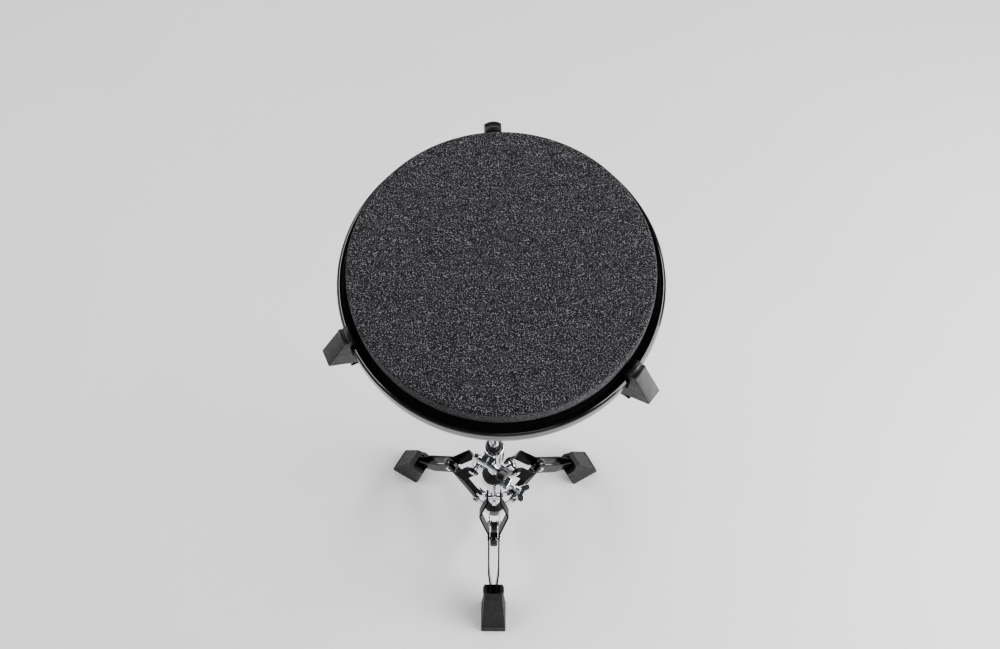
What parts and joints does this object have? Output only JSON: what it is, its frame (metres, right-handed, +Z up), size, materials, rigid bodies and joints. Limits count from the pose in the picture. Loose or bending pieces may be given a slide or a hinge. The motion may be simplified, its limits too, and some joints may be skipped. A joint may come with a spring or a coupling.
{
  "type": "practice pad",
  "caption": "Round drum practice pad with a flecked foam top, gripped in an adjustable arm basket on a height-adjustable folding tripod stand.",
  "frame": {"origin": "middle of the whole object's footprint box, on the floor", "axes": "+Z up; -Y towards the player; +X to the player's right"},
  "size_m": [0.323, 0.3634, 0.7845],
  "materials": {
    "foam": "fine closed-cell foam, charcoal with light flecks",
    "rim": "satin moulded, soft bright edge",
    "board": "raw fibreboard",
    "under_sheet": "ribbed anti-slip sheet",
    "grip_rubber": "satin moulded rubber",
    "boot_rubber": "dull mottled rubber",
    "cap_rubber": "dull rubber",
    "strip_paint": "black powder coat, satin",
    "stay_paint": "black paint, semi-gloss",
    "chrome": "bright plating",
    "fastener_chrome": "bright plated fasteners",
    "pressed_chrome": "plated pressed plate",
    "bearing_plastic": "dull moulded nylon",
    "knee_plastic": "glossy moulded nylon",
    "handle_plastic": "fine grained moulding"
  },
  "bodies": {
    "lower_stand": {"lower_tube": "chrome", "tube_end_cap": "cap_rubber", "stay_collar_plate_1": "pressed_chrome", "stay_collar_plate_2": "pressed_chrome", "stay_collar_plate_3": "pressed_chrome", "stay_collar_core": "bearing_plastic", "stay_bolts": "fastener_chrome", "stay_spacers": "fastener_chrome", "height_clamp": "chrome", "clamp_bush": "bearing_plastic", "clamp_nut": "fastener_chrome"},
    "clamp_screw": {"clamp_bolt": "fastener_chrome", "clamp_handle": "handle_plastic"},
    "tube_glide": {"upper_tube_glide": "bearing_plastic"},
    "upper_post": {"upper_tube": "chrome", "tilter_lower_yoke": "chrome", "tilter_bolt": "fastener_chrome"},
    "tilter_wing": {"tilter_wing_nut": "fastener_chrome"},
    "basket": {"tilter_upper_yoke": "chrome", "basket_spindle": "fastener_chrome", "spindle_nuts": "fastener_chrome", "basket_hub": "pressed_chrome", "basket_arm_pins": "fastener_chrome"},
    "spider": {"basket_spider": "pressed_chrome"},
    "knob": {"basket_knob": "handle_plastic"},
    "pad": {"pad_foam": "foam", "pad_rim": "rim", "pad_board": "board", "pad_under_sheet": "under_sheet"},
    "leg_collar": {"leg_collar_plate_1": "pressed_chrome", "leg_collar_plate_2": "pressed_chrome", "leg_collar_plate_3": "pressed_chrome", "leg_collar_sleeve": "bearing_plastic", "leg_bolts": "fastener_chrome", "leg_spacers": "fastener_chrome"},
    "lock_screw": {"lock_wing_screw": "fastener_chrome"},
    "arm_1": {"basket_arm_1": "pressed_chrome", "arm_grip_1": "grip_rubber"},
    "leg_1": {"leg_1_strip_left": "strip_paint", "leg_1_strip_right": "strip_paint", "knee_pin_1": "fastener_chrome", "rubber_foot_1": "boot_rubber"},
    "stay_1": {"stay_1": "stay_paint", "knee_block_1": "knee_plastic"},
    "arm_2": {"basket_arm_2": "pressed_chrome", "arm_grip_2": "grip_rubber"},
    "leg_2": {"leg_2_strip_left": "strip_paint", "leg_2_strip_right": "strip_paint", "knee_pin_2": "fastener_chrome", "rubber_foot_2": "boot_rubber"},
    "stay_2": {"stay_2": "stay_paint", "knee_block_2": "knee_plastic"},
    "arm_3": {"basket_arm_3": "pressed_chrome", "arm_grip_3": "grip_rubber"},
    "leg_3": {"leg_3_strip_left": "strip_paint", "leg_3_strip_right": "strip_paint", "knee_pin_3": "fastener_chrome", "rubber_foot_3": "boot_rubber"},
    "stay_3": {"stay_3": "stay_paint", "knee_block_3": "knee_plastic"}
  },
  "joints": [
    {"name": "clamp_turn", "type": "hinge", "parent": "lower_stand", "child": "clamp_screw", "pos_m": [-0.01008, -0.02021, 0.291], "axis": [0.8387, -0.5446, 0], "range_deg": [0, 360]},
    {"name": "height_slide", "type": "slide", "parent": "lower_stand", "child": "tube_glide", "axis": [0, 0, 1], "range_m": [-0.1, 0.08]},
    {"name": "post_swivel", "type": "hinge", "parent": "tube_glide", "child": "upper_post", "pos_m": [0, -0.00469, 0.45], "axis": [0, 0, 1], "continuous": true},
    {"name": "tilter_wing_turn", "type": "hinge", "parent": "upper_post", "child": "tilter_wing", "pos_m": [0.018, -0.00469, 0.622], "axis": [1, 0, 0], "continuous": true},
    {"name": "basket_tilt", "type": "hinge", "parent": "upper_post", "child": "basket", "pos_m": [0, -0.00469, 0.622], "axis": [1, 0, 0], "range_deg": [-35, 40]},
    {"name": "spider_slide", "type": "slide", "parent": "basket", "child": "spider", "axis": [0, 0.0872, -0.9962], "range_m": [0, 0.0034]},
    {"name": "knob_turn", "type": "hinge", "parent": "spider", "child": "knob", "pos_m": [0.0074, 0.01, 0.6713], "axis": [0, -0.0872, 0.9962], "range_deg": [0, 800]},
    {"name": "pad_seat", "type": "slide", "parent": "basket", "child": "pad", "axis": [0, 0.0872, -0.9962], "range_m": [0, 0.01759]},
    {"name": "arm_1_open", "type": "hinge", "parent": "basket", "child": "arm_1", "pos_m": [0.00618, 0.02823, 0.69197], "axis": [-0.9981, -0.0608, -0.0053], "range_deg": [0, 8.05]},
    {"name": "arm_2_open", "type": "hinge", "parent": "basket", "child": "arm_2", "pos_m": [-0.01073, -0.00008, 0.68949], "axis": [0.4226, -0.9029, -0.079], "range_deg": [0, 8.05]},
    {"name": "arm_3_open", "type": "hinge", "parent": "basket", "child": "arm_3", "pos_m": [0.02312, -0.00398, 0.68915], "axis": [0.6184, 0.7829, 0.0685], "range_deg": [0, 8.05]},
    {"name": "leg_fold", "type": "slide", "parent": "lower_stand", "child": "leg_collar", "axis": [0, 0, 1], "range_m": [0, 0.0242]},
    {"name": "lock_screw_turn", "type": "hinge", "parent": "leg_collar", "child": "lock_screw", "pos_m": [0.03464, -0.02469, 0.192], "axis": [0.866, -0.5, 0], "continuous": true},
    {"name": "leg_1_pivot", "type": "hinge", "parent": "leg_collar", "child": "leg_1", "pos_m": [0, -0.03419, 0.192], "axis": [1, 0, 0], "range_deg": [0, 29.65]},
    {"name": "stay_1_pivot", "type": "hinge", "parent": "lower_stand", "child": "stay_1", "pos_m": [0, -0.03419, 0.055], "axis": [-1, 0, 0], "range_deg": [0, 23.1]},
    {"name": "leg_2_pivot", "type": "hinge", "parent": "leg_collar", "child": "leg_2", "pos_m": [0.02555, 0.01006, 0.192], "axis": [-0.5, 0.866, 0], "range_deg": [0, 29.65]},
    {"name": "stay_2_pivot", "type": "hinge", "parent": "lower_stand", "child": "stay_2", "pos_m": [0.02555, 0.01006, 0.055], "axis": [0.5, -0.866, 0], "range_deg": [0, 23.1]},
    {"name": "leg_3_pivot", "type": "hinge", "parent": "leg_collar", "child": "leg_3", "pos_m": [-0.02555, 0.01006, 0.192], "axis": [-0.5, -0.866, 0], "range_deg": [0, 29.65]},
    {"name": "stay_3_pivot", "type": "hinge", "parent": "lower_stand", "child": "stay_3", "pos_m": [-0.02555, 0.01006, 0.055], "axis": [0.5, 0.866, 0], "range_deg": [0, 23.1]}
  ],
  "couplings": [
    {"joint": "spider_slide", "follows": "pad_seat", "ratio": 0.19048},
    {"joint": "knob_turn", "follows": "pad_seat", "rad_per_m": 793.65},
    {"joint": "arm_1_open", "follows": "pad_seat", "rad_per_m": 7.9365},
    {"joint": "arm_2_open", "follows": "pad_seat", "rad_per_m": 7.9365},
    {"joint": "arm_3_open", "follows": "pad_seat", "rad_per_m": 7.9365},
    {"joint": "leg_1_pivot", "follows": "leg_fold", "rad_per_m": 21.339},
    {"joint": "stay_1_pivot", "follows": "leg_fold", "rad_per_m": 16.596},
    {"joint": "leg_2_pivot", "follows": "leg_fold", "rad_per_m": 21.339},
    {"joint": "stay_2_pivot", "follows": "leg_fold", "rad_per_m": 16.596},
    {"joint": "leg_3_pivot", "follows": "leg_fold", "rad_per_m": 21.339},
    {"joint": "stay_3_pivot", "follows": "leg_fold", "rad_per_m": 16.596}
  ]
}
